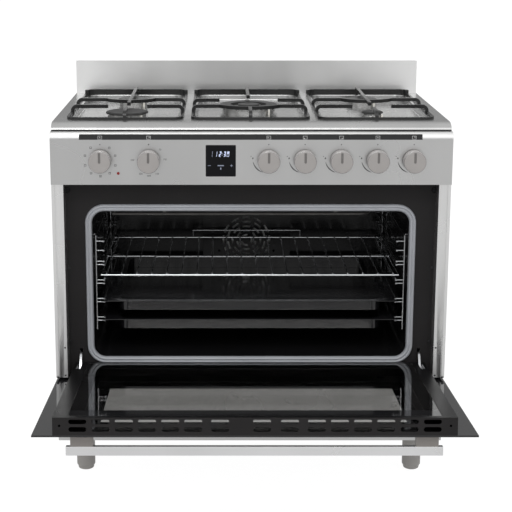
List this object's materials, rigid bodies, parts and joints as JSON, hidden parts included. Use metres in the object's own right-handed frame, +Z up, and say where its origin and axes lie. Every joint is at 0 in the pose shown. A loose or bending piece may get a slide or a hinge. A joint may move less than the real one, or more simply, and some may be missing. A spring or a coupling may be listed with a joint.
{
  "type": "freestanding gas range",
  "caption": "Freestanding gas range with a recessed hob over a wide electric oven, drop-down glass door, lift-off pan supports, turn knobs and a low splashback.",
  "frame": {"origin": "on the floor, at the middle of the box round the whole range with its oven door open", "axes": "+X to the cook's right, +Y towards the wall behind the range, +Z up"},
  "size_m": [0.9, 1.0274, 0.9495],
  "materials": {
    "stainless": "brushed, satin",
    "painted_side": "grey paint, satin",
    "zinc_sheet": "zinc-coated sheet",
    "foot_grey": "grey, satin",
    "black_enamel": "glossy black enamel",
    "mineral_wool": "matte fibre",
    "seal": "grey silicone-coated braid, satin",
    "screw_steel": "plated steel",
    "chrome": "bright",
    "element_steel": "oxidised tube",
    "lamp_glass": "clear",
    "display_black": "gloss",
    "red_lens": "gloss",
    "knob_grey": "satin, warm grey",
    "spindle_steel": "turned",
    "switch_plastic": "matte",
    "brass": "plain",
    "support_black": "black enamel, satin",
    "burner_alloy": "bright",
    "ceramic": "white ceramic",
    "door_glass": "black, mirror gloss",
    "handle_metal": "satin",
    "handle_post_grey": "warm grey, satin"
  },
  "bodies": {
    "root": {"base_pan": "zinc_sheet", "left_side_panel": "painted_side", "right_side_panel": "painted_side", "back_panel": "zinc_sheet", "left_front_post": "stainless", "right_front_post": "stainless", "lower_front_panel": "stainless", "feet": "foot_grey", "oven_liner": "black_enamel", "oven_insulation": "mineral_wool", "oven_front_frame": "black_enamel", "oven_gasket": "seal", "frame_screws": "screw_steel", "fan_cover": "black_enamel", "fan_motor": "zinc_sheet", "grill_element": "element_steel", "bottom_element": "element_steel", "oven_lamps": "lamp_glass", "left_shelf_ladder": "chrome", "right_shelf_ladder": "chrome", "control_panel": "stainless", "clock_display": "display_black", "indicator_lamp": "red_lens", "oven_switches": "switch_plastic", "gas_manifold": "brass", "hob_top": "stainless", "splashback": "stainless", "burner_cups": "burner_alloy", "burner_caps": "black_enamel", "igniters": "ceramic", "hinge_arms": "chrome"},
    "door": {"door_frame": "black_enamel", "door_outer_glass": "door_glass", "door_inner_glass": "door_glass", "door_handle": "handle_metal", "handle_posts": "handle_post_grey", "hinge_brackets": "chrome"},
    "fan": {"fan_wheel": "chrome"},
    "left_support": {"left_pan_support": "support_black"},
    "centre_support": {"centre_pan_support": "support_black"},
    "right_support": {"right_pan_support": "support_black"},
    "shelf": {"wire_shelf": "chrome"},
    "top_tray": {"upper_tray": "black_enamel"},
    "bottom_tray": {"lower_tray": "black_enamel"},
    "function_control": {"function_knob": "knob_grey", "function_spindle": "spindle_steel"},
    "thermostat_control": {"thermostat_knob": "knob_grey", "thermostat_spindle": "spindle_steel"},
    "gas_tap_1": {"gas_spindle_1": "spindle_steel"},
    "gas_control_1": {"gas_knob_1": "knob_grey"},
    "gas_tap_2": {"gas_spindle_2": "spindle_steel"},
    "gas_control_2": {"gas_knob_2": "knob_grey"},
    "gas_tap_3": {"gas_spindle_3": "spindle_steel"},
    "gas_control_3": {"gas_knob_3": "knob_grey"},
    "gas_tap_4": {"gas_spindle_4": "spindle_steel"},
    "gas_control_4": {"gas_knob_4": "knob_grey"},
    "gas_tap_5": {"gas_spindle_5": "spindle_steel"},
    "gas_control_5": {"gas_knob_5": "knob_grey"}
  },
  "joints": [
    {"name": "door_hinge", "type": "hinge", "parent": "root", "child": "door", "pos_m": [0, -0.07431, 0.2852], "axis": [-1, 0, 0], "range_deg": [0, 85.8]},
    {"name": "fan_spin", "type": "hinge", "parent": "root", "child": "fan", "pos_m": [0, 0.41669, 0.484], "axis": [0, 1, 0], "continuous": true},
    {"name": "lift_left_support", "type": "slide", "parent": "root", "child": "left_support", "axis": [0, 0, 1], "range_m": [0, 0.1]},
    {"name": "lift_centre_support", "type": "slide", "parent": "root", "child": "centre_support", "axis": [0, 0, 1], "range_m": [0, 0.1]},
    {"name": "lift_right_support", "type": "slide", "parent": "root", "child": "right_support", "axis": [0, 0, 1], "range_m": [0, 0.1]},
    {"name": "pull_lower_tray", "type": "slide", "parent": "root", "child": "bottom_tray", "axis": [0, 1, 0], "range_m": [-0.3, 0]},
    {"name": "pull_upper_tray", "type": "slide", "parent": "root", "child": "top_tray", "axis": [0, 1, 0], "range_m": [-0.3, 0]},
    {"name": "pull_wire_shelf", "type": "slide", "parent": "root", "child": "shelf", "axis": [0, 1, 0], "range_m": [-0.3, 0]},
    {"name": "push_gas_knob_1", "type": "slide", "parent": "gas_tap_1", "child": "gas_control_1", "axis": [0, 1, 0], "range_m": [0, 0.0035], "stiffness_N_per_m": 900},
    {"name": "push_gas_knob_2", "type": "slide", "parent": "gas_tap_2", "child": "gas_control_2", "axis": [0, 1, 0], "range_m": [0, 0.0035], "stiffness_N_per_m": 900},
    {"name": "push_gas_knob_3", "type": "slide", "parent": "gas_tap_3", "child": "gas_control_3", "axis": [0, 1, 0], "range_m": [0, 0.0035], "stiffness_N_per_m": 900},
    {"name": "push_gas_knob_4", "type": "slide", "parent": "gas_tap_4", "child": "gas_control_4", "axis": [0, 1, 0], "range_m": [0, 0.0035], "stiffness_N_per_m": 900},
    {"name": "push_gas_knob_5", "type": "slide", "parent": "gas_tap_5", "child": "gas_control_5", "axis": [0, 1, 0], "range_m": [0, 0.0035], "stiffness_N_per_m": 900},
    {"name": "turn_function_knob", "type": "hinge", "parent": "root", "child": "function_control", "pos_m": [-0.338, -0.09831, 0.785], "axis": [0, -1, 0], "continuous": true},
    {"name": "turn_gas_knob_1", "type": "hinge", "parent": "root", "child": "gas_tap_1", "pos_m": [0.0385, -0.09831, 0.785], "axis": [0, -1, 0], "range_deg": [0, 190]},
    {"name": "turn_gas_knob_2", "type": "hinge", "parent": "root", "child": "gas_tap_2", "pos_m": [0.1195, -0.09831, 0.785], "axis": [0, -1, 0], "range_deg": [0, 190]},
    {"name": "turn_gas_knob_3", "type": "hinge", "parent": "root", "child": "gas_tap_3", "pos_m": [0.2005, -0.09831, 0.785], "axis": [0, -1, 0], "range_deg": [0, 190]},
    {"name": "turn_gas_knob_4", "type": "hinge", "parent": "root", "child": "gas_tap_4", "pos_m": [0.2815, -0.09831, 0.785], "axis": [0, -1, 0], "range_deg": [0, 190]},
    {"name": "turn_gas_knob_5", "type": "hinge", "parent": "root", "child": "gas_tap_5", "pos_m": [0.3625, -0.09831, 0.785], "axis": [0, -1, 0], "range_deg": [0, 190]},
    {"name": "turn_thermostat_knob", "type": "hinge", "parent": "root", "child": "thermostat_control", "pos_m": [-0.2295, -0.09831, 0.785], "axis": [0, 1, 0], "range_deg": [0, 280]}
  ]
}
